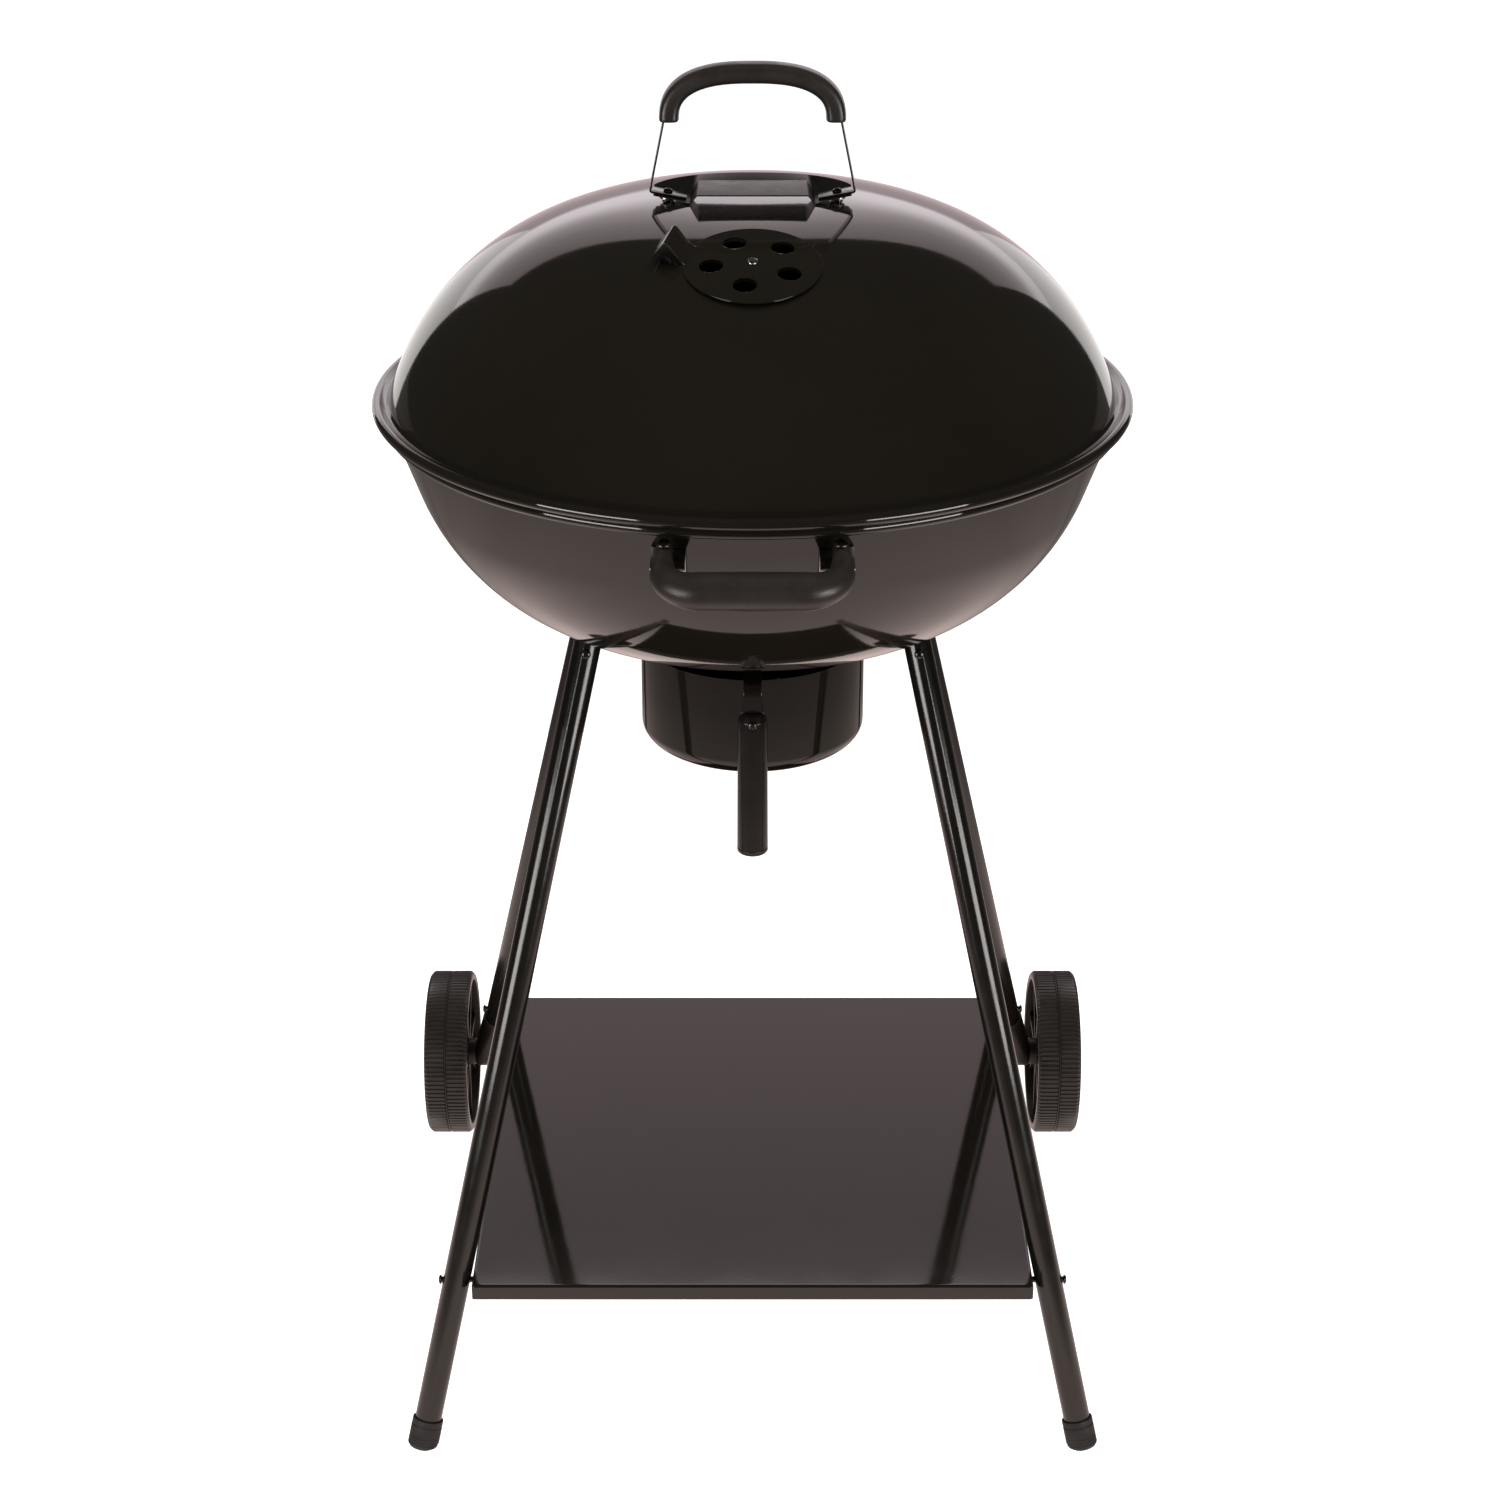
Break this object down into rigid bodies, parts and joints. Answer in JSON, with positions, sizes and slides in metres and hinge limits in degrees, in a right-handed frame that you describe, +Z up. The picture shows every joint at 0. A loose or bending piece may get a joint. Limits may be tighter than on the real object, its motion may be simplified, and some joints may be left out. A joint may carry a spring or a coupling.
{
  "type": "kettle charcoal grill",
  "caption": "Round kettle charcoal grill: domed lift-off lid with vent and handle, deep bowl with ash catcher and sweeper, splayed tube legs, lower shelf and wheels at the back.",
  "frame": {"origin": "centre of the footprint's bounding box, on the ground", "axes": "+Z up; -Y towards the front, where the bowl handle and the sweeper lever are; +Y towards the wheels; X along the axle"},
  "size_m": [0.6046, 0.6485, 1.0545],
  "materials": {
    "enamel": "high-gloss black enamel",
    "painted_tube": "gloss black paint",
    "matte_plastic": "matte black moulded plastic",
    "rubber": "matte black",
    "zinc_steel": "zinc-plated",
    "shield_coating": "satin black heat-resistant coating",
    "sweeper_steel": "dull aluminised steel",
    "chrome_wire": "plated wire"
  },
  "bodies": {
    "grill_stand": {"bowl_shell": "enamel", "grate_support_1": "enamel", "grate_support_2": "enamel", "grate_support_3": "enamel", "grate_support_4": "enamel", "bottom_shelf": "enamel", "leg_front_left": "painted_tube", "leg_front_right": "painted_tube", "leg_rear_left": "painted_tube", "leg_rear_right": "painted_tube", "leg_bracket_front_left": "painted_tube", "leg_bracket_front_right": "painted_tube", "leg_bracket_rear_left": "painted_tube", "leg_bracket_rear_right": "painted_tube", "bowl_handle_grip": "matte_plastic", "axle_lug_left": "matte_plastic", "axle_lug_right": "matte_plastic", "foot_cap_left": "rubber", "foot_cap_right": "rubber", "bowl_handle_bracket_left": "zinc_steel", "bowl_handle_bracket_right": "zinc_steel", "bowl_handle_bolt_left": "zinc_steel", "bowl_handle_bolt_right": "zinc_steel", "ash_catcher_clip_left": "zinc_steel", "ash_catcher_clip_right": "zinc_steel", "leg_bolt_front_left": "zinc_steel", "leg_bolt_front_right": "zinc_steel", "leg_bolt_rear_left": "zinc_steel", "leg_bolt_rear_right": "zinc_steel", "shelf_bolt_front_left": "zinc_steel", "shelf_bolt_front_right": "zinc_steel", "shelf_bolt_rear_left": "zinc_steel", "shelf_bolt_rear_right": "zinc_steel", "axle_rod": "zinc_steel", "axle_cap_left": "zinc_steel", "axle_cap_right": "zinc_steel", "charcoal_grate": "chrome_wire"},
    "lid": {"lid_shell": "enamel", "lid_handle_strap": "painted_tube", "lid_handle_grip": "matte_plastic", "lid_heat_shield": "shield_coating", "lid_handle_screw_left": "zinc_steel", "lid_handle_screw_right": "zinc_steel", "lid_handle_spacer_left": "zinc_steel", "lid_handle_spacer_right": "zinc_steel", "vent_rivet": "zinc_steel"},
    "lid_vent": {"lid_vent_disc": "enamel"},
    "cooking_grate": {"cooking_grate": "chrome_wire"},
    "sweeper": {"sweeper_blades": "sweeper_steel", "sweeper_shaft": "zinc_steel", "sweeper_lever_arm": "painted_tube", "sweeper_lever_grip": "matte_plastic", "sweeper_grip_plug": "matte_plastic", "sweeper_grip_screw": "zinc_steel"},
    "ash_catcher": {"ash_catcher": "enamel"},
    "wheel_left": {"wheel_left": "matte_plastic"},
    "wheel_right": {"wheel_right": "matte_plastic"}
  },
  "joints": [
    {"name": "lid_lift", "type": "slide", "parent": "grill_stand", "child": "lid", "axis": [0, 0, 1], "range_m": [0, 0.3]},
    {"name": "lid_vent_turn", "type": "hinge", "parent": "lid", "child": "lid_vent", "pos_m": [0, -0.11437, 0.94143], "axis": [0, -0.2672, 0.9636], "range_deg": [0, 36]},
    {"name": "cooking_grate_lift", "type": "slide", "parent": "grill_stand", "child": "cooking_grate", "axis": [0, 0, 1], "range_m": [0, 0.03]},
    {"name": "sweeper_turn", "type": "hinge", "parent": "grill_stand", "child": "sweeper", "pos_m": [0, 0.01913, 0.605], "axis": [0, 0, 1], "range_deg": [-40, 40]},
    {"name": "ash_catcher_pull", "type": "slide", "parent": "grill_stand", "child": "ash_catcher", "axis": [0, 0, -1], "range_m": [0, 0.14]},
    {"name": "wheel_left_spin", "type": "hinge", "parent": "grill_stand", "child": "wheel_left", "pos_m": [-0.28, 0.24857, 0.0757], "axis": [1, 0, 0], "continuous": true},
    {"name": "wheel_right_spin", "type": "hinge", "parent": "grill_stand", "child": "wheel_right", "pos_m": [0.28, 0.24857, 0.0757], "axis": [1, 0, 0], "continuous": true}
  ]
}
